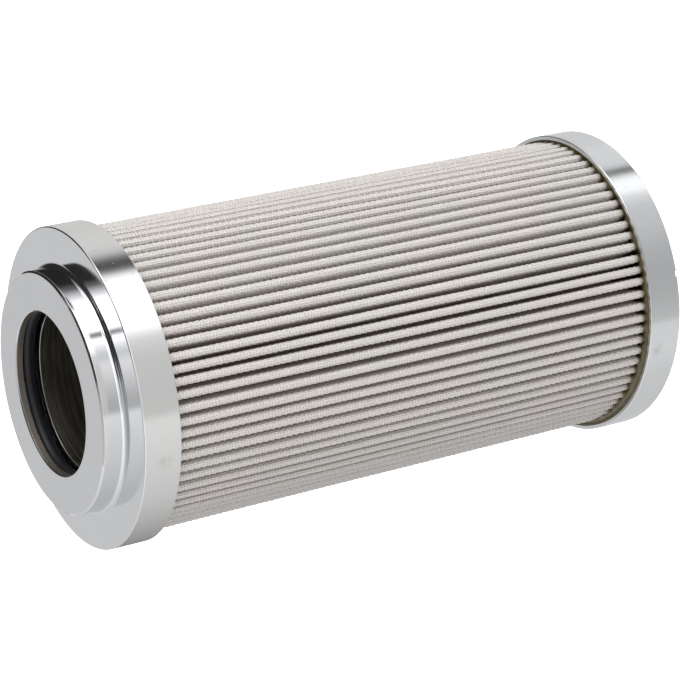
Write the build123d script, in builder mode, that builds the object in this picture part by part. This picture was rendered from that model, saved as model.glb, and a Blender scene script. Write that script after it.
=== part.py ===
from build123d import *
import os
from math import asin, atan2, degrees, radians, sin

# A pleated hydraulic filter element: a folded wire-cloth pack round a perforated
# core tube, potted in epoxy between an open front cap, whose bore carries the
# o-ring that seals on the housing's spigot, and a closed rear cap. It stands on
# the closed cap: the origin is at the middle of that cap's outer face, and +Z
# runs along the axis to the nose of the open cap. Millimetres throughout.

# ---- driving dimensions ----
element_length = 159.5  # closed face to nose face
cap_diameter = 80.0  # both end caps
cap_wall = 1.0  # skirts of both caps

# open front cap
nose_diameter = 60.3
nose_height = 5.9  # above the shoulder
nose_bevel = 0.45
nose_foot_radius = 1.2  # concave, where the nose meets the shoulder
shoulder_thickness = 1.6
front_skirt = 9.5  # shoulder face to the skirt's free edge
front_rim_radius = 0.35
bore_diameter = 40.6
bore_bevel = 0.3
hub_length = 10.5  # below the shoulder plate, inside the core tube
hub_wall = 1.1

# o-ring and its groove in the bore
oring_section = 3.53
oring_proud = 0.2  # stands this far into the bore
groove_lip = 2.0  # nose face to groove
groove_width = 4.4
groove_clearance = 0.05  # ring to the groove's front wall

# closed rear cap
rear_skirt = 9.3
base_thickness = 1.5
rear_rim_radius = 0.6
nick_width = 2.1  # knock in the rear rim
nick_depth = 0.9
nick_azimuth = -95.4

# free edge of both skirts
lip_bevel = 0.2

# core tube
tube_wall = 0.8
tube_clearance = 0.1  # radial, over the hub
hole_diameter = 6.0
holes_around = 8
hole_rows = 7
hole_row_pitch = 16.0

# pleat pack
skirt_gap = 0.8  # radial, pack to the inside of the skirts
pack_clearance = 0.25  # radial, over the core tube
pleat_count = 75
media_thickness = 0.7
crown_radius = 1.2  # outside of each outer fold
root_gap = 0.07  # between neighbouring inner folds
bend_flats = 3  # across each hidden bend

# epoxy
potting_thickness = 2.5  # between each cap and the pack's cut end
collar_clearance = 0.05  # radial, collar to the pack's crowns
collar_recess = 0.6  # below the lip of each skirt

# ---- derived places ----
cap_radius = cap_diameter / 2
cup_radius = cap_radius - cap_wall
bore_radius = bore_diameter / 2
nose_radius = nose_diameter / 2
shoulder_z = element_length - nose_height
shoulder_underside = shoulder_z - shoulder_thickness
front_lip_z = shoulder_z - front_skirt
hub_radius = bore_radius + hub_wall
hub_end_z = shoulder_underside - hub_length

oring_inner_radius = bore_radius - oring_proud
groove_radius = oring_inner_radius + oring_section
groove_front_z = element_length - groove_lip
oring_z = groove_front_z - groove_clearance - oring_section / 2

tube_bore_radius = hub_radius + tube_clearance
tube_radius = tube_bore_radius + tube_wall

pack_bottom = base_thickness + potting_thickness
pack_top = shoulder_underside - potting_thickness
pack_radius = cup_radius - skirt_gap
pack_bore_radius = tube_radius + pack_clearance

os.makedirs("parts", exist_ok=True)


def rims(part, radius, z):
    """The circular edges of a turned part at one radius and height."""
    return part.edges().filter_by(GeomType.CIRCLE).filter_by(
        lambda edge: abs(edge.radius - radius) < 1e-4 and abs(edge.center().Z - z) < 1e-4
    )


# ---- front end cap: nose, shoulder and skirt, with the hub that enters the tube ----
with BuildPart() as front_end_cap:
    with BuildSketch(Plane.XZ):
        with BuildLine():
            Polyline(
                (bore_radius, element_length),
                (nose_radius, element_length),
                (nose_radius, shoulder_z),
                (cap_radius, shoulder_z),
                (cap_radius, front_lip_z),
                (cup_radius, front_lip_z),
                (cup_radius, shoulder_underside),
                (hub_radius, shoulder_underside),
                (hub_radius, hub_end_z),
                (bore_radius, hub_end_z),
                (bore_radius, groove_front_z - groove_width),
                (groove_radius, groove_front_z - groove_width),
                (groove_radius, groove_front_z),
                (bore_radius, groove_front_z),
                close=True,
            )
        make_face()
    revolve(axis=Axis.Z)
    fillet(rims(front_end_cap, nose_radius, shoulder_z), nose_foot_radius)
    chamfer(rims(front_end_cap, nose_radius, element_length), nose_bevel)
    chamfer(rims(front_end_cap, bore_radius, element_length), bore_bevel)
    fillet(rims(front_end_cap, cap_radius, shoulder_z), front_rim_radius)
    chamfer(rims(front_end_cap, cap_radius, front_lip_z), lip_bevel)

# ---- bore o-ring: lies against the front wall of its groove ----
with BuildPart() as bore_o_ring:
    with Locations((0, 0, oring_z)):
        Torus(oring_inner_radius + oring_section / 2, oring_section / 2)

# ---- rear end cap: a closed cup, knocked once on its rear rim ----
with BuildPart() as rear_end_cap:
    with BuildSketch():
        Circle(cap_radius)
    extrude(amount=rear_skirt)
    with BuildSketch(Plane.XY.offset(base_thickness)):
        Circle(cup_radius)
    extrude(amount=rear_skirt - base_thickness, mode=Mode.SUBTRACT)
    fillet(rims(rear_end_cap, cap_radius, 0), rear_rim_radius)
    chamfer(rims(rear_end_cap, cap_radius, rear_skirt), lip_bevel)
    # the knock: a ball whose chord across the rim is nick_width
    ball_radius = (nick_width**2 / 4 + nick_depth**2) / (2 * nick_depth)
    ball_reach = (ball_radius - nick_depth) * sin(radians(45))
    with PolarLocations(cap_radius + ball_reach, 1, start_angle=nick_azimuth):
        with Locations((0, 0, -ball_reach)):
            Sphere(ball_radius, mode=Mode.SUBTRACT)

# ---- core tube: carries the pack, stands between the two caps ----
with BuildPart() as core_tube:
    with BuildSketch(Plane.XY.offset(base_thickness)):
        Circle(tube_radius)
        Circle(tube_bore_radius, mode=Mode.SUBTRACT)
    extrude(amount=shoulder_underside - base_thickness)
    tube_middle = (base_thickness + shoulder_underside) / 2
    for row in range(hole_rows):
        row_z = tube_middle + (row - (hole_rows - 1) / 2) * hole_row_pitch
        stagger = (row % 2) * 180 / holes_around
        with Locations((0, 0, row_z)):
            with PolarLocations(tube_radius, holes_around, start_angle=stagger):
                Cylinder(
                    hole_diameter / 2,
                    3 * tube_wall,
                    rotation=(0, 90, 0),
                    mode=Mode.SUBTRACT,
                )

# ---- pleat pack: one sheet folded round the tube ----
# Each crown and each root is bent about its own centre. Both surfaces of the sheet
# share these centres and the direction of the straight legs between them. The roots
# fill the ring round the core tube, root_gap apart. The crowns' outside is round,
# and the bends that nobody sees are creased in a few flats.
half_pitch = 180 / pleat_count
crowding = sin(radians(half_pitch))
root_outer_radius = (2 * pack_bore_radius * crowding - root_gap) / (2 - 2 * crowding)
crown_centre = Vector(pack_radius - crown_radius, 0)
root_centre = Vector(pack_bore_radius + root_outer_radius, 0).rotate(Axis.Z, half_pitch)
leg = root_centre - crown_centre
leg_lean = degrees(atan2(leg.Y, -leg.X))
leg_pinch = degrees(asin((crown_radius - media_thickness + root_outer_radius) / leg.length))
crown_half_arc = 90 - leg_lean + leg_pinch
root_half_arc = crown_half_arc - half_pitch


def bend(centre, radius, start, turn, flats=None):
    """A bend of the sheet: one arc, or a number of flats across that arc."""
    if flats is None:
        return CenterArc(centre, radius, start, turn)
    arc = CenterArc(centre, radius, start, turn, mode=Mode.PRIVATE)
    return Polyline([arc @ (i / flats) for i in range(flats + 1)])


def pleat_outline(crown_r, root_r, crown_flats=None):
    """The closed line over every crown and root, for one surface of the sheet."""
    with BuildLine() as one_pleat:
        crown = bend(crown_centre, crown_r, -crown_half_arc, 2 * crown_half_arc, crown_flats)
        root_start = 180 + half_pitch + root_half_arc
        root = bend(root_centre, root_r, root_start, -2 * root_half_arc, bend_flats)
        Line(crown @ 1, root @ 0)
        Line(root @ 1, (crown @ 0).rotate(Axis.Z, 2 * half_pitch))
    with BuildLine() as outline:
        with PolarLocations(0, pleat_count):
            add(one_pleat.line)
    return outline.edges()


with BuildPart() as pleat_pack:
    with BuildSketch(Plane.XY.offset(pack_bottom)):
        make_face(pleat_outline(crown_radius, root_outer_radius - media_thickness))
        make_face(
            pleat_outline(crown_radius - media_thickness, root_outer_radius, bend_flats),
            mode=Mode.SUBTRACT,
        )
    extrude(amount=pack_top - pack_bottom)


# ---- epoxy: a disc between cap and pack, with a collar up the inside of the skirt ----
def potting(cap_face, pack_face, lip):
    """From a cap's inner face to the pack's end, and on towards the skirt's lip."""
    away = 1 if lip > cap_face else -1
    with BuildPart() as epoxy:
        with BuildSketch(Plane.XZ):
            with BuildLine():
                Polyline(
                    (tube_radius, cap_face),
                    (cup_radius, cap_face),
                    (cup_radius, lip - away * collar_recess),
                    (pack_radius + collar_clearance, lip - away * collar_recess),
                    (pack_radius + collar_clearance, pack_face),
                    (tube_radius, pack_face),
                    close=True,
                )
            make_face()
        revolve(axis=Axis.Z)
    return epoxy


front_potting = potting(shoulder_underside, pack_top, front_lip_z)
rear_potting = potting(base_thickness, pack_bottom, rear_skirt)

for label, piece in (
    ("front_end_cap", front_end_cap),
    ("bore_o_ring", bore_o_ring),
    ("rear_end_cap", rear_end_cap),
    ("core_tube", core_tube),
    ("pleat_pack", pleat_pack),
    ("front_potting", front_potting),
    ("rear_potting", rear_potting),
):
    piece.part.label = label
    export_step(piece.part, f"parts/{label}.step")
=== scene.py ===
from math import asin, atan2, cos, hypot, pi, radians, sin, tan

import bpy
import numpy as np
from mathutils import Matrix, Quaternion, Vector


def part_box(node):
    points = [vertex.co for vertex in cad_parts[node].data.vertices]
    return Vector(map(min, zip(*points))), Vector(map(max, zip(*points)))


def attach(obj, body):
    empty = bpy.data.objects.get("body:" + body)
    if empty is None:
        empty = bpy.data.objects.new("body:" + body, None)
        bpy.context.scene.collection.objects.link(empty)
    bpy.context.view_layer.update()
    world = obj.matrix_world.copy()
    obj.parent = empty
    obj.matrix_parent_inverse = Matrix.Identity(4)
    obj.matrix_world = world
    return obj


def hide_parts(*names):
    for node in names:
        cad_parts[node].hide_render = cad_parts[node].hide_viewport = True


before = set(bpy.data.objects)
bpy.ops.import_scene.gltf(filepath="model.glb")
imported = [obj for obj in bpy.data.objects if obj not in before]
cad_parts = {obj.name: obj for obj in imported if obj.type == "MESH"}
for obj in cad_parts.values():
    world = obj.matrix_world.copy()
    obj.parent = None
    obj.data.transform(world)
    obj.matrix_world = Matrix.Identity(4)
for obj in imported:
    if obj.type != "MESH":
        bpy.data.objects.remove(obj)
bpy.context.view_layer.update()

# Rear end cap: a shallow steel cup, pressed, plated bright and knocked once on its
# rim. It is glued over the closed end of the pack, and the element stands on it.
MM = 0.001
_, cup_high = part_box("rear_end_cap")
CAP_RADIUS = cup_high.y
CAP_WALL = 1.0 * MM
REAR_SCUFF = (-21.8 * MM, -33.5 * MM, 6.6 * MM)
BRIGHT_STEEL = (0.70, 0.702, 0.705, 1)
CLOUDED_STEEL = (0.66, 0.665, 0.675, 1)
STEEL_SPECK = (0.25, 0.22, 0.19, 1)
STEEL_SCUFF = (0.45, 0.42, 0.40, 1)
# Painted shade inside a bore, dark and lighter for drag streaks, and a brown painted reflection on its lip
# wall.
BORE_SHADE_DARK = (0.24, 0.22, 0.185, 1)
BORE_SHADE_LIGHT = (0.46, 0.43, 0.38, 1)
BORE_LIP_REFLECTION = (0.52, 0.47, 0.42, 1)


class Finish:
    """A principled material, with its nodes added and linked by name."""

    def __init__(self, name):
        self.material = bpy.data.materials.new(name)
        self.material.use_nodes = True
        self.tree = self.material.node_tree
        self.shader = self.tree.nodes["Principled BSDF"]
        self.place = self.node("TexCoord").outputs["Object"]

    def put(self, socket, value):
        """Link a socket to another one, or give it a value."""
        if hasattr(value, "links"):
            self.tree.links.new(value, socket)
        else:
            socket.default_value = value

    def node(self, kind, settings=None, **inputs):
        """A new node with its settings, and its inputs by name."""
        made = self.tree.nodes.new("ShaderNode" + kind)
        for key, value in (settings or {}).items():
            setattr(made, key, value)
        for key, value in inputs.items():
            self.put(made.inputs[key.replace("_", " ")], value)
        return made

    def surface(self, **inputs):
        """Give the shader some of its inputs by name."""
        for key, value in inputs.items():
            self.put(self.shader.inputs[key.replace("_", " ")], value)

    def bump(self, height, strength, depth):
        """Tilt the surface by a height, which is worth depth at its full size."""
        tilted = self.node("Bump", Height=height, Strength=strength, Distance=depth)
        self.surface(Normal=tilted.outputs[0])

    def math(self, operation, *values):
        """A sum, a product or another function of numbers."""
        made = self.node("Math", {"operation": operation})
        for socket, value in zip(made.inputs, values):
            self.put(socket, value)
        return made.outputs[0]

    def split(self, vector):
        """The three parts of a vector."""
        return self.node("SeparateXYZ", Vector=vector).outputs

    def from_axis(self, x, y):
        """How far a place is from the element's axis."""
        return self.math("SQRT", self.math("MULTIPLY_ADD", x, x, self.math("MULTIPLY", y, y)))

    def step(self, value, low, high):
        """0 below low, 1 above high, smooth between."""
        made = self.node("MapRange", {"interpolation_type": "SMOOTHSTEP"})
        for socket, given in zip(made.inputs, (value, low, high, 0.0, 1.0)):
            self.put(socket, given)
        return made.outputs[0]

    def fade(self, value, low, high):
        """1 below low, 0 above high, smooth between."""
        return self.math("SUBTRACT", 1.0, self.step(value, low, high))

    def blend(self, factor, first, second):
        """From the first colour to the second."""
        made = self.node("Mix", {"data_type": "RGBA"})
        self.put(made.inputs["Factor"], factor)
        self.put(made.inputs[6], first)
        self.put(made.inputs[7], second)
        return made.outputs[2]

    def noise(self, vector, scale, detail=2.0, roughness=0.5):
        """Soft random patches between 0 and 1, scale of them to a metre."""
        made = self.node("TexNoise", Vector=vector, Scale=scale, Detail=detail, Roughness=roughness)
        return made.outputs["Fac"]

    def rubbed(self, crowding, scale, detail, roughness):
        """Noise that runs around the part, crowded together along its height."""
        x, y, z = self.split(self.place)
        crowded = self.node("CombineXYZ", X=x, Y=y, Z=self.math("MULTIPLY", z, crowding))
        return self.noise(crowded.outputs[0], scale, detail, roughness)


def turned_steel(name, scuff, polished_above=None, satin_above=None, bore=None):
    """Bright plated steel with the lathe's fine rings, specks and one small scuff.

    It is polished brighter above one height and left satin above another. Inside a
    bore, given as its radius and the height where its lip begins, it is dull and its
    colour is painted shade, dark brown with lighter drag streaks of wear; above the lip
    height the brown is a painted reflection.
    """
    steel = Finish(name)
    x, y, z = steel.split(steel.place)
    radius = steel.from_axis(x, y)
    rings = steel.node("CombineXYZ", X=radius, Y=0.0, Z=z).outputs[0]
    lathe = steel.noise(rings, 5200.0, 3.0, 0.6)
    cloud = steel.noise(steel.place, 45.0, 3.0)
    wipe = steel.rubbed(6.0, 90.0, 4.0, 0.7)
    speck = steel.step(steel.noise(steel.place, 1300.0, 1.0), 0.74, 0.80)
    rough = steel.math("MULTIPLY_ADD", 0.05, cloud, steel.math("MULTIPLY_ADD", 0.05, wipe, 0.11))
    if polished_above is not None:
        polished = steel.step(z, polished_above - 0.2 * MM, polished_above)
        rough = steel.math("SUBTRACT", rough, steel.math("MULTIPLY", polished, 0.06))
    if satin_above is not None:
        satin = steel.step(z, satin_above - 0.1 * MM, satin_above)
        rough = steel.math("MULTIPLY_ADD", satin, 0.2, rough)
    rough = steel.math("MULTIPLY_ADD", speck, 0.15, rough)
    tint = steel.blend(cloud, BRIGHT_STEEL, CLOUDED_STEEL)
    tint = steel.blend(steel.math("MULTIPLY", 0.35, speck), tint, STEEL_SPECK)
    if bore is not None:
        bore_radius, lip_from = bore
        inside = steel.fade(radius, bore_radius, bore_radius + 0.1 * MM)
        drag = steel.rubbed(25.0, 60.0, 4.0, 0.65)
        rough = steel.math("MULTIPLY_ADD", inside, steel.math("MULTIPLY_ADD", drag, 0.25, 0.08), rough)
        lip = steel.step(z, lip_from - 0.2 * MM, lip_from)
        rough = steel.math("MULTIPLY_ADD", steel.math("MULTIPLY", inside, lip), 0.12, rough)
        # Painted shade: the bore's walls are dark brown with lighter drag streaks; the lip wall's brown is
        # a painted reflection.
        dull = steel.blend(steel.step(drag, 0.35, 0.7), BORE_SHADE_DARK, BORE_SHADE_LIGHT)
        dull = steel.blend(lip, dull, BORE_LIP_REFLECTION)
        tint = steel.blend(inside, tint, dull)
    apart = steel.node("VectorMath", {"operation": "DISTANCE"})
    steel.put(apart.inputs[0], steel.place)
    steel.put(apart.inputs[1], scuff)
    near = steel.fade(apart.outputs["Value"], 0.6 * MM, 2.6 * MM)
    scored = steel.math("MULTIPLY", near, steel.step(steel.noise(steel.place, 800.0), 0.3, 0.8))
    rough = steel.math("MULTIPLY_ADD", scored, 0.2, rough)
    tint = steel.blend(steel.math("MULTIPLY", 0.5, scored), tint, STEEL_SCUFF)
    steel.surface(Base_Color=tint, Metallic=1.0, Roughness=rough)
    steel.bump(steel.math("MULTIPLY_ADD", -2.0, speck, lathe), 0.12, 0.02 * MM)
    return steel.material


def dress(node, material):
    """A node of the frame keeps its shape and gets this material."""
    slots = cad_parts[node].data.materials
    slots.clear()
    slots.append(material)


rear_steel = turned_steel("rear cap steel", REAR_SCUFF, satin_above=cup_high.z - 0.1 * MM)
dress("rear_end_cap", rear_steel)

# Core tube: perforated zinc-plated sheet, rolled and welded. It holds the pack up
# from inside and stands between the two caps.
_, tube_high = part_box("core_tube")
ZINC_SHADE = (0.34, 0.32, 0.27, 1)
ZINC_LIGHT = (0.52, 0.49, 0.43, 1)
zinc = Finish("dull zinc")
spangle = zinc.noise(zinc.place, 260.0, 4.0, 0.65)
zinc.surface(
    Base_Color=zinc.blend(spangle, ZINC_SHADE, ZINC_LIGHT),
    Metallic=1.0,
    Roughness=zinc.math("ADD", 0.34, zinc.math("MULTIPLY", 0.22, spangle)),
)
zinc.bump(spangle, 0.25, 0.05 * MM)
dress("core_tube", zinc.material)

# Pleat pack: one long sheet of filter medium faced with plain-weave wire cloth,
# 0.7 mm thick and folded into 75 pleats. The folding knives leave the pleats a
# little uneven, and the casting resin has climbed the cloth at the closed end.
PLEATS = 75
HALF_PITCH = pi / PLEATS
SHEET = 0.7 * MM
CROWN = 1.1 * MM
TUBE_GAP = 0.25 * MM
ROOT_GAP = 0.07 * MM
WIRE_PITCH = 0.82 * MM
KNUCKLE = 0.13 * MM
NOSE_HEIGHT = 5.9 * MM
FRONT_SKIRT = 9.5 * MM
CROWN_STEPS = 9
FLANK_STEPS = 2
BACK_ROWS = 11
SECTORS = 5
pack_low, pack_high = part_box("pleat_pack")
nose_low, nose_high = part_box("front_end_cap")
PACK_RADIUS = pack_high.x
PACK_LENGTH = pack_high.z - pack_low.z
OPEN_FROM = cup_high.z
OPEN_TO = nose_high.z - NOSE_HEIGHT - FRONT_SKIRT
chance = np.random.default_rng(75)

# A fold is an arc round the crown's centre, a straight leg each side, and an arc
# round each root's centre. Both faces of the sheet bend round the same centres.
tube_side = tube_high.x + TUBE_GAP
root_bend = (2 * tube_side * sin(HALF_PITCH) - ROOT_GAP) / (2 - 2 * sin(HALF_PITCH)) - SHEET
crown_middle = np.array((PACK_RADIUS - CROWN, 0.0))
root_reach = tube_side + root_bend + SHEET
root_middle = root_reach * np.array((cos(HALF_PITCH), sin(HALF_PITCH)))
leg = root_middle - crown_middle
lean = atan2(leg[1], -leg[0])
pinch = asin((CROWN + root_bend) / hypot(*leg))
CROWN_ARC = pi / 2 - lean + pinch


def fold_line(depth):
    """One pleat from root to root, depth inside the cloth face, with its normals."""
    turn = np.linspace(-CROWN_ARC, CROWN_ARC, CROWN_STEPS + 1)
    outward = np.column_stack((np.cos(turn), np.sin(turn)))
    crown = crown_middle + (CROWN - depth) * outward
    facing = outward[-1]
    down = np.array((-facing[1], facing[0]))
    near = [crown[-1] + down * WIRE_PITCH / 2 * (i + 1) for i in range(FLANK_STEPS)]
    foot = root_middle - (root_bend + depth) * facing
    bottom = root_middle * (1 - (root_bend + depth) / root_reach)
    side = np.array(near + [foot, bottom])
    side_facing = np.array([facing] * (FLANK_STEPS + 1) + [root_middle / root_reach])
    mirror = np.array((1.0, -1.0))
    points = np.concatenate((side[::-1] * mirror, crown, side))
    normals = np.concatenate((side_facing[::-1] * mirror, outward, side_facing))
    return points, normals


face_line, face_normals = fold_line(0.0)
back_line, _ = fold_line(SHEET)
columns = len(face_line)

# Rows of points run up the sheet, two to each wire where it is open to view. The
# back of the sheet is out of sight and has fewer.
half_wire = WIRE_PITCH / 2
row_count = round((OPEN_TO - OPEN_FROM) / half_wire) + 2
open_rows = OPEN_FROM - half_wire + half_wire * np.arange(row_count + 1)
heights = np.concatenate(((pack_low.z,), open_rows, (pack_high.z,)))
last_row = len(heights) - 1
all_rows = np.arange(len(heights))
few_rows = np.unique(np.concatenate(((0, last_row), np.linspace(1, last_row - 1, BACK_ROWS).astype(int))))


def wander(knots, size):
    """A slow random drift along the element, one row for each pleat."""
    values = chance.normal(0.0, size, (PLEATS, knots))
    at = np.linspace(pack_low.z, pack_high.z, knots)
    where = np.clip(np.searchsorted(at, heights) - 1, 0, knots - 2)
    ease = (heights - at[where]) / (at[where + 1] - at[where])
    ease = ease * ease * (3 - 2 * ease)
    return values[:, where] * (1 - ease) + values[:, where + 1] * ease


# Unevenness of the crowns: each leans to one side and lies a little low, both of
# which drift along it. The whole pack is twisted, and off centre at the closed end.
SWAY = radians(0.17)
MOST_SWAY = radians(0.33)
SWAY_DRIFT = radians(0.06)
SINK = 0.09 * MM
SINK_DRIFT = 0.05 * MM
TWIST = radians(0.7)
UNTWISTED_AT = 0.85
OFF_CENTRE = 0.4 * MM
sway = np.clip(chance.normal(0.0, SWAY, (PLEATS, 1)), -MOST_SWAY, MOST_SWAY)
sway = sway + wander(5, SWAY_DRIFT)
sink = np.abs(chance.normal(0.0, SINK, (PLEATS, 1)))
sink = sink + np.abs(wander(6, SINK_DRIFT))
shade = chance.uniform(0.0, 1.0, PLEATS)


def polar(points):
    """Radius and angle of points in the plane."""
    return np.hypot(points[..., 0], points[..., 1]), np.arctan2(points[..., 1], points[..., 0])


def sheet_face(line, rows, pleat, lift=None):
    """The places of one pleat's points at the given rows, lifted along the face's normals."""
    radius, angle = polar(line)
    share = np.clip((radius - root_reach) / (PACK_RADIUS - root_reach), 0.0, 1.0)
    if lift is not None:
        radius, angle = polar(line[None] + lift[:, :, None] * face_normals[None])
    z = heights[rows][:, None]
    up = (z - pack_low.z) / PACK_LENGTH
    reach = radius - sink[pleat, rows][:, None] * share
    turned = angle + 2 * HALF_PITCH * pleat + TWIST * (up - UNTWISTED_AT)
    turned = turned + sway[pleat, rows][:, None] * share
    x = reach * np.cos(turned) + OFF_CENTRE * share * (1 - up)
    y = reach * np.sin(turned)
    return np.stack((x, y, z + 0 * turned), axis=-1)


def wire_relief():
    """Lift of the open cloth: nothing on top of each crossing, and inwards elsewhere."""
    across = np.arange(columns)[None] / 2
    along = (heights[:, None] - OPEN_FROM) / WIRE_PITCH
    wires = np.cos(2 * pi * across) + np.cos(2 * pi * along)
    weave = np.cos(pi * across) * np.cos(pi * along)
    woven = np.zeros((len(heights), columns))
    woven[1:-1, 2:-2] = 1.0
    return KNUCKLE * (0.125 * wires + 0.8 * weave - 1.05) * woven


def grid_faces(first, rows, cols, flip=False):
    """Quads over a grid of points that starts at index first."""
    corner = first + np.arange(rows - 1)[:, None] * cols + np.arange(cols - 1)[None]
    quads = np.stack((corner, corner + 1, corner + cols + 1, corner + cols), axis=-1).reshape(-1, 4)
    return quads[:, ::-1] if flip else quads


def mesh_object(name, points, faces, material):
    """A mesh piece from arrays of points and quads, smooth shaded."""
    mesh = bpy.data.meshes.new(name)
    mesh.vertices.add(len(points))
    mesh.vertices.foreach_set("co", np.asarray(points, dtype=np.float32).ravel())
    mesh.loops.add(faces.size)
    mesh.loops.foreach_set("vertex_index", faces.astype(np.int32).ravel())
    mesh.polygons.add(len(faces))
    mesh.polygons.foreach_set("loop_start", np.arange(0, faces.size, 4, dtype=np.int32))
    mesh.update(calc_edges=True)
    mesh.shade_smooth()
    mesh.materials.append(material)
    piece = bpy.data.objects.new(name, mesh)
    bpy.context.scene.collection.objects.link(piece)
    return piece


# The cloth's finish: round wires over and under each other, the medium between them
# painted darker as shade in the grooves, patches where the weave reads pinker or
# greener, and painted shade in the valleys between the pleats.
WIRE_PINK = (0.775, 0.72, 0.695, 1)
WIRE_GREEN = (0.74, 0.72, 0.68, 1)
WIRE_DULL = (0.64, 0.60, 0.575, 1)
MEDIUM_GROOVE_SHADE_DARK = (0.47, 0.43, 0.41, 1)
MEDIUM_GROOVE_SHADE_LIGHT = (0.60, 0.56, 0.53, 1)
VALLEY_PAINTED_SHADE = (0.56, 0.47, 0.42, 1)
cloth = Finish("wire cloth")
x, y, z = cloth.split(cloth.place)
across, along, dulled = cloth.split(cloth.node("Attribute", {"attribute_name": "cloth"}).outputs["Vector"])


def shaken(threads, scale, amount):
    """The count of wires pushed about a little, as they lie in real cloth."""
    push = cloth.math("SUBTRACT", cloth.noise(cloth.place, scale), 0.5)
    return cloth.math("MULTIPLY_ADD", push, amount, threads)


def wire(offset, running, crest, slope, swing):
    """Height of a round wire that rises and dips along its run."""
    number = cloth.math("ROUND", offset)
    off = cloth.math("SUBTRACT", offset, number)
    round_top = cloth.math("MULTIPLY_ADD", cloth.math("MULTIPLY", off, off), -slope, crest)
    parity = cloth.math("COSINE", cloth.math("MULTIPLY", number, pi))
    wave = cloth.math("MULTIPLY", cloth.math("COSINE", cloth.math("MULTIPLY", running, pi)), parity)
    return cloth.math("MULTIPLY_ADD", wave, swing, round_top)


along = shaken(along, 330.0, 0.9)
across = shaken(across, 410.0, 0.7)
warp = wire(across, along, 0.72, 6.0, 0.45)
weft = wire(along, across, 0.72, 5.0, -0.45)
weave = cloth.math("MAXIMUM", cloth.math("SMOOTH_MAX", warp, weft, 0.15), -0.2)
on_wire = cloth.step(weave, -0.15, 0.75)
patch = cloth.noise(cloth.place, 38.0, 3.0, 0.6)
grain = cloth.noise(cloth.place, 900.0, 2.0, 0.6)
# Painted shade: the cloth turns darker and browner with depth below the crowns, in the valleys between the
# pleats.
depth = cloth.math("SUBTRACT", PACK_RADIUS, cloth.from_axis(x, y))
painted_valley_shade = cloth.step(depth, 0.6 * MM, 5.0 * MM)
hue = cloth.blend(cloth.step(patch, 0.35, 0.65), WIRE_PINK, WIRE_GREEN)
hue = cloth.blend(cloth.math("MULTIPLY", 0.3, dulled), hue, WIRE_DULL)
# Painted shade: the medium between the wires is darker for the shade in the grooves.
colour = cloth.blend(on_wire, cloth.blend(grain, MEDIUM_GROOVE_SHADE_DARK, MEDIUM_GROOVE_SHADE_LIGHT), hue)
colour = cloth.blend(cloth.math("MULTIPLY", 0.45, painted_valley_shade), colour, VALLEY_PAINTED_SHADE)

# Resin soaks up the cloth to an uneven line, further on the side it was poured from,
# and leaves it damp and brown above that line; that brown band is also painted shadow
# from the rear cap's lip. Painted shade greys the cloth down the poured side.
POUR_SIDE = radians(-170.0)
SHADED_SIDE = (0.36, 0.345, 0.33, 1)
DAMP_AND_LIP_SHADOW = (0.17, 0.135, 0.085, 1)
SOAKED_DARK = (0.08, 0.063, 0.027, 1)
SOAKED_LIGHT = (0.18, 0.147, 0.072, 1)
bearing = cloth.math("ARCTAN2", y, x)
poured = cloth.math("COSINE", cloth.math("SUBTRACT", bearing, POUR_SIDE))
poured = cloth.math("MULTIPLY_ADD", 0.5, poured, 0.5)
ragged = cloth.noise(cloth.place, 420.0, 3.0, 0.7)
drawn_up = cloth.math("MULTIPLY_ADD", 1.1 * MM, cloth.math("MULTIPLY", poured, poured), 0.4 * MM)
drawn_up = cloth.math("MULTIPLY", drawn_up, ragged)
climb = cloth.math("MULTIPLY_ADD", 1.0 * MM, cloth.math("POWER", poured, 5.0), drawn_up)
# Painted shade: the cloth turns grey towards the side the resin was poured from.
painted_side_shade = cloth.math("MULTIPLY", 0.5, cloth.math("POWER", poured, 12.0))
colour = cloth.blend(painted_side_shade, colour, SHADED_SIDE)
from_rear = cloth.math("SUBTRACT", cloth.math("SUBTRACT", z, OPEN_FROM - 0.1 * MM), climb)
# Painted shadow: the cloth browns just above the resin line, both for the damp and for the rear cap lip's
# shadow.
damp_and_lip_shadow = cloth.fade(from_rear, -0.3 * MM, 1.4 * MM)
colour = cloth.blend(cloth.math("MULTIPLY", 0.65, damp_and_lip_shadow), colour, DAMP_AND_LIP_SHADOW)
from_front = cloth.math("SUBTRACT", OPEN_TO - 0.1 * MM, z)
soaked = cloth.fade(cloth.math("MINIMUM", from_rear, from_front), -0.25 * MM, 0.25 * MM)
colour = cloth.blend(soaked, colour, cloth.blend(grain, SOAKED_DARK, SOAKED_LIGHT))
dry_wire = cloth.math("MULTIPLY", on_wire, cloth.math("SUBTRACT", 1.0, soaked))
cloth.surface(
    Base_Color=colour,
    Metallic=cloth.math("MULTIPLY", 0.2, dry_wire),
    Roughness=cloth.math("SUBTRACT", 0.58, cloth.math("MULTIPLY", 0.25, soaked)),
)
cloth.bump(cloth.math("ADD", weave, cloth.math("MULTIPLY", 0.3, grain)), 1.0, KNUCKLE)


def thread_marks(rows, pleat):
    """For each point of a pleat: the wires counted across and along, and the pleat's own shade."""
    across_wires, along_wires = np.broadcast_arrays(
        np.arange(columns)[None] / 2, (heights[rows, None] - OPEN_FROM) / WIRE_PITCH
    )
    own_shade = np.full(across_wires.shape, shade[pleat])
    return np.stack((across_wires, along_wires, own_shade), axis=-1).reshape(-1, 3)


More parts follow.
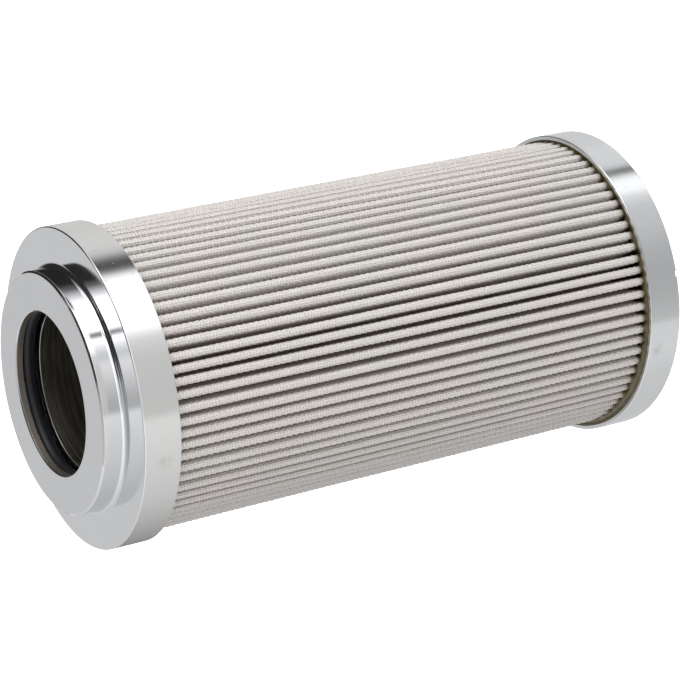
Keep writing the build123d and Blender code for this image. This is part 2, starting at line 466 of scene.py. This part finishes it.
lift = wire_relief()
per_sector = PLEATS // SECTORS
for sector in range(SECTORS):
    points, faces, marks = [], [], []
    start = 0
    for pleat in range(sector * per_sector, (sector + 1) * per_sector):
        for rows, places, flip in (
            (all_rows, sheet_face(face_line, all_rows, pleat, lift), False),
            (few_rows, sheet_face(back_line, few_rows, pleat), True),
        ):
            points.append(places.reshape(-1, 3))
            faces.append(grid_faces(start, len(rows), columns, flip))
            marks.append(thread_marks(rows, pleat))
            start += len(rows) * columns
    name = f"pleats_{sector + 1}"
    piece = mesh_object(name, np.concatenate(points), np.concatenate(faces), cloth.material)
    threads = piece.data.attributes.new("cloth", "FLOAT_VECTOR", "POINT")
    threads.data.foreach_set("vector", np.concatenate(marks).astype(np.float32).ravel())
    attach(piece, "root")
    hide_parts("pleat_pack")

# Rear and front potting: olive epoxy cast into each cap. Where it wets the pleats it
# has drawn up into an uneven fillet that fills the feet of the valleys.
EPOXY_DARK = (0.06, 0.047, 0.019, 1)
EPOXY_LIGHT = (0.17, 0.14, 0.065, 1)
CUP_INSIDE = CAP_RADIUS - CAP_WALL
FILLET_TURNS = 600
RIPPLE = 0.10 * MM
RIPPLE_COUNTS = (3, 7, 13, 29, 41, 75, 90)
REAR_SWELL = 1.4 * MM

# The fillet's section: how far each point lies in from the cup's wall and above its
# lip, both in mm, and how much of the wavy swell it follows.
FILLET_SECTION = (
    (0.0, -1.2, 0.0),
    (0.0, -0.22, 0.35),
    (0.3, -0.45, 0.0),
    (0.7, -0.39, 0.35),
    (1.0, -0.5, 1.0),
    (2.6, -0.5, 1.0),
    (2.6, -1.2, 0.0),
)
epoxy = Finish("olive epoxy")
cloudy = epoxy.noise(epoxy.place, 300.0, 4.0, 0.6)
epoxy.surface(Base_Color=epoxy.blend(cloudy, EPOXY_DARK, EPOXY_LIGHT), Roughness=0.24)
epoxy.bump(epoxy.noise(epoxy.place, 700.0, 3.0), 0.4, 0.15 * MM)
for potting in ("rear_potting", "front_potting"):
    dress(potting, epoxy.material)


def around(turns):
    """Evenly spaced bearings, and their cosines and sines as the columns of an array."""
    bearings = np.linspace(0.0, 2 * pi, turns, endpoint=False)
    return bearings, np.column_stack((np.cos(bearings), np.sin(bearings)))


def ring_faces(rings, turns, closed, flip=False):
    """Quads between each ring of points and the next, and from the last to the first if closed."""
    here = np.arange(rings * turns).reshape(rings, turns)
    there = np.roll(here, -1, axis=0)
    quads = np.stack((here, np.roll(here, -1, axis=1), np.roll(there, -1, axis=1), there), axis=-1)
    quads = (quads if closed else quads[:-1]).reshape(-1, 4)
    return quads[:, ::-1] if flip else quads


bearings, spread = around(FILLET_TURNS)
for name, lip, way, poured_swell in (
    ("rear_fillet", OPEN_FROM, 1.0, REAR_SWELL),
    ("front_fillet", OPEN_TO, -1.0, 0.0),
):
    swell = sum(
        chance.normal(0.0, RIPPLE) * np.sin(count * bearings + chance.uniform(0, 2 * pi))
        for count in RIPPLE_COUNTS
    )
    swell = swell + poured_swell * (0.5 + 0.5 * np.cos(bearings - POUR_SIDE)) ** 3
    rings = [
        np.column_stack(((CUP_INSIDE - inward * MM) * spread, lip + way * (rise * MM + share * swell)))
        for inward, rise, share in FILLET_SECTION
    ]
    faces = ring_faces(len(rings), FILLET_TURNS, closed=True, flip=way < 0)
    fillet = mesh_object(name, np.concatenate(rings), faces, epoxy.material)
    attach(fillet, "root")

# Front end cap: turned from bar and plated bright, with a raised nose, a concave foot
# where it meets the shoulder, and a bore with an inner groove. Each corner of its
# profile is broken by the tool, and those breaks catch the light as thin lines.
SHOULDER = nose_high.z - NOSE_HEIGHT
BORE = 20.3 * MM
NOSE = 30.15 * MM
NOSE_BREAK = 0.45 * MM
BORE_BREAK = 0.3 * MM
HUB_WALL = 1.1 * MM
HUB = BORE + HUB_WALL
GROOVE = 23.63 * MM
GROOVE_LIP = 2.0 * MM
GROOVE_WIDTH = 4.4 * MM
GROOVE_TOP = nose_high.z - GROOVE_LIP
GROOVE_FLOOR = GROOVE_TOP - GROOVE_WIDTH
PLATE = 1.6 * MM
PLATE_UNDERSIDE = SHOULDER - PLATE
FRONT_SCUFF = (-21.2 * MM, -33.9 * MM, SHOULDER - 5.4 * MM)
TURNS = 320

# The profile's corners: radius, height, the bend that breaks the corner in mm, and
# the steps around that bend.
CAP_CORNERS = (
    (BORE, nose_low.z, 0.15, 2),
    (BORE, GROOVE_FLOOR, 0.25, 6),
    (GROOVE, GROOVE_FLOOR, 0.3, 3),
    (GROOVE, GROOVE_TOP, 0.3, 3),
    (BORE, GROOVE_TOP, 0.15, 3),
    (BORE, nose_high.z - BORE_BREAK, 0.1, 3),
    (BORE + BORE_BREAK, nose_high.z, 0.1, 3),
    (NOSE - NOSE_BREAK, nose_high.z, 0.16, 4),
    (NOSE, nose_high.z - NOSE_BREAK, 0.16, 4),
    (NOSE, SHOULDER, 1.2, 22),
    (CAP_RADIUS, SHOULDER, 0.35, 8),
    (CAP_RADIUS, OPEN_TO, 0.2, 4),
    (CUP_INSIDE, OPEN_TO, 0.2, 4),
    (CUP_INSIDE, PLATE_UNDERSIDE, 0.5, 3),
    (HUB, PLATE_UNDERSIDE, 0.3, 3),
    (HUB, nose_low.z, 0.15, 2),
)
profile, facing = [], []
for i, (reach, height, bend, steps) in enumerate(CAP_CORNERS):
    corner = Vector((reach, height))
    before = (Vector(CAP_CORNERS[i - 1][:2]) - corner).normalized()
    after = (Vector(CAP_CORNERS[(i + 1) % len(CAP_CORNERS)][:2]) - corner).normalized()
    half_angle = before.angle(after) / 2
    centre = corner + (before + after).normalized() * (bend * MM / sin(half_angle))
    start = corner + before * (bend * MM / tan(half_angle)) - centre
    end = corner + after * (bend * MM / tan(half_angle)) - centre
    outside = 1.0 if before.cross(after) > 0 else -1.0
    for step in range(steps + 1):
        spoke = start.normalized().slerp(end.normalized(), step / steps)
        profile.append(centre + spoke * bend * MM)
        facing.append(spoke * outside)


def turned(section):
    """A section's points or normals carried around the axis."""
    _, spread = around(TURNS)
    return np.concatenate([np.column_stack((at.x * spread, np.full(TURNS, at.y))) for at in section])


front_steel = turned_steel(
    "front cap steel",
    FRONT_SCUFF,
    polished_above=SHOULDER,
    satin_above=nose_high.z,
    bore=(BORE + 0.02 * MM, GROOVE_TOP),
)
faces = ring_faces(len(profile), TURNS, closed=True, flip=True)
front_cap = mesh_object("front_cap", turned(profile), faces, front_steel)
front_cap.data.normals_split_custom_set_from_vertices(turned(facing))
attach(front_cap, "root")
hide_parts("front_end_cap")

# Bore o-ring: black nitrile rubber with a thin film of oil, pressed into its groove.
# It seals the bore on the spigot that the element is pushed over.
RUBBER_BLACK = (0.012, 0.012, 0.014, 1)
RUBBER_GREY = (0.02, 0.02, 0.024, 1)
nitrile = Finish("oiled nitrile")
nitrile.surface(
    Base_Color=nitrile.blend(nitrile.noise(nitrile.place, 400.0), RUBBER_BLACK, RUBBER_GREY),
    Roughness=0.42,
    Specular_IOR_Level=0.3,
)
dress("bore_o_ring", nitrile.material)

# Floor: a wide sheet of white paper, lit until it reads as pure white. The steel does
# not mirror it: grey cards lie below it for that.
FLOOR_SIZE = 80.0
FLOOR_GAP = 0.02 * MM
PAPER_DULL = (0.88, 0.88, 0.88, 1)
PAPER_WHITE = (0.90, 0.90, 0.90, 1)
paper = Finish("white paper")
paper.surface(
    Base_Color=paper.blend(paper.noise(paper.place, 3.0), PAPER_DULL, PAPER_WHITE),
    Roughness=0.9,
    Emission_Color=(1, 1, 1, 1),
    Emission_Strength=1.0,
)
bpy.ops.mesh.primitive_plane_add(size=FLOOR_SIZE, location=(0, 0, -FLOOR_GAP))
floor = bpy.context.object
floor.name = "floor"
floor.data.materials.append(paper.material)
floor.visible_glossy = False
floor.visible_diffuse = False

# Studio light: a round white tent with one bright side, a black flag and a narrow dark
# strip, a grey canopy over it, and two rings of grey card below the floor. The steel
# mirrors them all and the camera sees none of them.
BRIGHTEST = 4.0
TENT = 1.5
TENT_FOOT = -0.01
TENT_SEAM = 0.3
TENT_TOP = 1.6
CANOPY_TOP = 1.9
CANOPY_HOLE = 0.25
CARD_HEIGHT = -0.12
CARD_HOLE = 0.05
CARD_SEAM = 0.40
CARD_EDGE = 1.6
CARD_TURNS = 180
COOL_WHITE = (0.985, 0.99, 1.0)
GREEN_WHITE = (0.98, 0.995, 1.0)
WARM_WHITE = (1.0, 0.992, 0.975)
world = bpy.data.worlds.new("studio")
world.use_nodes = True
bpy.context.scene.world = world
backdrop = world.node_tree.nodes["Background"]
backdrop.inputs["Color"].default_value = (1, 1, 1, 1)
backdrop.inputs["Strength"].default_value = 1.0


def panel(name, inner, outer, low, high, hue, glows):
    """A round card from (inner, low) to (outer, high); glows are its bearings and brightness."""
    light = Finish(name)
    x, y, _ = light.split(light.place)
    bearing = light.math("ARCTAN2", y, x)
    ramp = light.node("ValToRGB", Fac=light.math("MULTIPLY_ADD", bearing, 0.5 / pi, 0.5))
    stops = ramp.color_ramp.elements
    stops.remove(stops[0])
    for bearing_in_degrees, glow in glows:
        position = bearing_in_degrees / 360 + 0.5
        stop = stops.new(position) if position > 0 else stops[0]
        stop.position = position
        stop.color = (*(part * glow / BRIGHTEST for part in hue), 1)
    light.surface(
        Base_Color=(0, 0, 0, 1),
        Specular_IOR_Level=0.0,
        Emission_Color=ramp.outputs["Color"],
        Emission_Strength=BRIGHTEST,
    )
    _, spread = around(CARD_TURNS)
    rings = [
        np.column_stack((reach * spread, np.full(CARD_TURNS, height)))
        for reach, height in ((inner, low), (outer, high))
    ]
    faces = ring_faces(2, CARD_TURNS, closed=False)
    card = mesh_object(name, np.concatenate(rings), faces, light.material)
    card.visible_camera = False
    card.visible_shadow = False


panel("light_tent", TENT, TENT, TENT_SEAM, TENT_TOP, COOL_WHITE, (
    (-180, 1.08), (-150, 1.24), (-122, 1.42), (-117, 0.80), (-108, 0.84), (-92, 1.15), (-76, 1.5),
    (-66, 1.15), (-58, 1.75), (-52, 2.6), (-50, 2.6), (-47.5, 0.25), (-44.5, 0.25),
    (-42, 2.8), (-30, 3.4), (-12, 3.0), (-2, 1.5), (10, 0.25), (20, 0.03),
    (68, 0.03), (80, 0.76), (110, 0.76), (150, 0.90), (179, 1.08),
))
panel("tent_skirt", TENT, TENT, TENT_FOOT, TENT_SEAM, COOL_WHITE, (
    (-180, 1.1), (-122, 1.3), (-112, 1.9), (-60, 2.1), (-12, 2.4), (13, 0.4), (24, 0.03),
    (68, 0.03), (80, 0.74), (110, 0.72), (150, 0.90), (179, 1.10),
))
panel("canopy", CANOPY_HOLE, TENT, CANOPY_TOP, TENT_TOP, COOL_WHITE, (
    (-180, 0.7), (-130, 0.6), (-95, 0.35), (-84, 0.05), (60, 0.05), (90, 0.6), (179, 0.7),
))
panel("floor_card_far", CARD_SEAM, CARD_EDGE, CARD_HEIGHT, CARD_HEIGHT, WARM_WHITE, (
    (-180, 0.8), (-155, 0.90), (-122, 1.02), (-118, 0.74), (-80, 0.80), (-66, 0.95),
    (-58, 1.8), (-22, 1.8), (-17, 1.3), (-14, 0.25), (-11, 0.04), (-5.5, 0.06), (-1.5, 0.22),
    (2.5, 0.62), (7, 0.86), (16, 0.90), (27, 0.89), (45, 0.80), (66, 0.74),
    (75, 0.57), (106, 0.27), (140, 0.50), (179, 0.8),
))
panel("floor_card_near", CARD_HOLE, CARD_SEAM, CARD_HEIGHT, CARD_HEIGHT, GREEN_WHITE, (
    (-180, 0.80), (-168, 0.84), (-153, 0.92), (-132, 0.90), (-130.5, 0.68), (-108, 0.58),
    (-93, 0.58), (-78, 0.63), (-64, 0.75), (-48, 0.80), (-39, 1.0), (-34, 1.5), (-24, 1.5),
    (-20, 0.9), (-18, 0.08), (-14.5, 0.08), (-12, 0.9), (-4, 0.97), (11, 0.95), (26, 0.84),
    (57, 0.74), (120, 0.68), (160, 0.76), (179, 0.80),
))

# Camera: a long lens that looks down on the open cap, rolled so that the standing
# element lies across the frame.
EYE = Vector((0, -0.5801, 0.38544))
AIM = Vector((-0.00217, 0, 0.07886))
ROLL = radians(-102.26)
camera = bpy.data.objects.new("camera", bpy.data.cameras.new("camera"))
bpy.context.scene.collection.objects.link(camera)
camera.location = EYE
camera.rotation_mode = "QUATERNION"
camera.rotation_quaternion = (AIM - EYE).to_track_quat("-Z", "Y") @ Quaternion((0, 0, 1), ROLL)
camera.data.sensor_width = 36.0
camera.data.lens = 135.6
camera.data.clip_start = 0.01
camera.data.clip_end = 20.0
bpy.context.scene.camera = camera
bpy.context.scene.view_settings.view_transform = "Standard"
